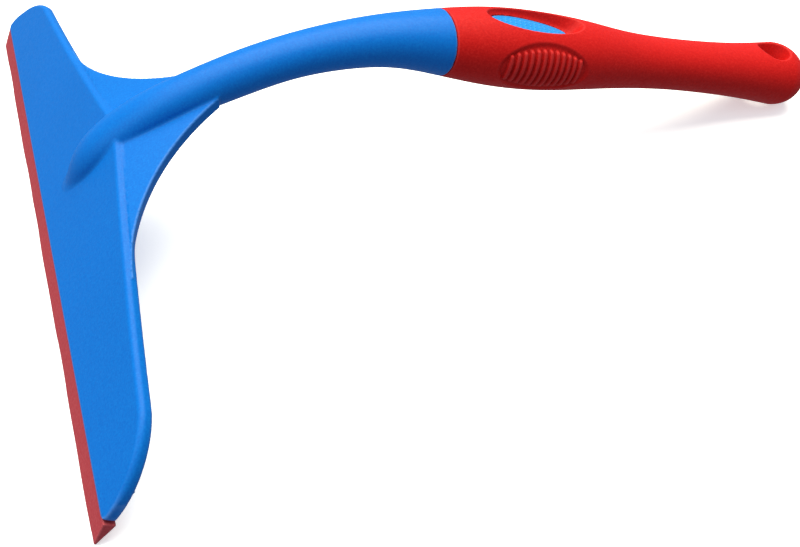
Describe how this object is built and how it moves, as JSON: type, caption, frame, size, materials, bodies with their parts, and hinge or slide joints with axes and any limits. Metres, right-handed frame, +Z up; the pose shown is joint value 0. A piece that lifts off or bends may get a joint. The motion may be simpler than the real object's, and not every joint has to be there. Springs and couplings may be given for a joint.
{
  "type": "window cleaning squeegee",
  "caption": "Hand squeegee with a wide sloping blade bar, a curved neck, a soft oval grip with thumb scoop and finger ribs, a hang hole and a slide-out rubber strip.",
  "frame": {"origin": "middle of the bounding box's bottom face: on the table, half way between the wiping lip and the end of the grip", "axes": "+X from the wiping lip to the end of the grip, +Y along the blade, +Z up as the squeegee rests on its lip and on the grip's round end"},
  "size_m": [0.3336, 0.252, 0.0684],
  "materials": {
    "blue_plastic": "satin, fine moulded grain",
    "blue_plastic_light": "satin",
    "red_soft_grip": "soft matt, fine grain",
    "red_rubber": "matt"
  },
  "bodies": {
    "handle": {"frame": "blue_plastic", "blade_retainer": "blue_plastic_light", "grip_sleeve": "red_soft_grip", "thumb_badge": "blue_plastic_light"},
    "rubber": {"rubber_blade": "red_rubber"}
  },
  "joints": [
    {"name": "rubber_slide", "type": "slide", "parent": "handle", "child": "rubber", "axis": [0, 1, 0], "range_m": [0, 0.252]}
  ]
}
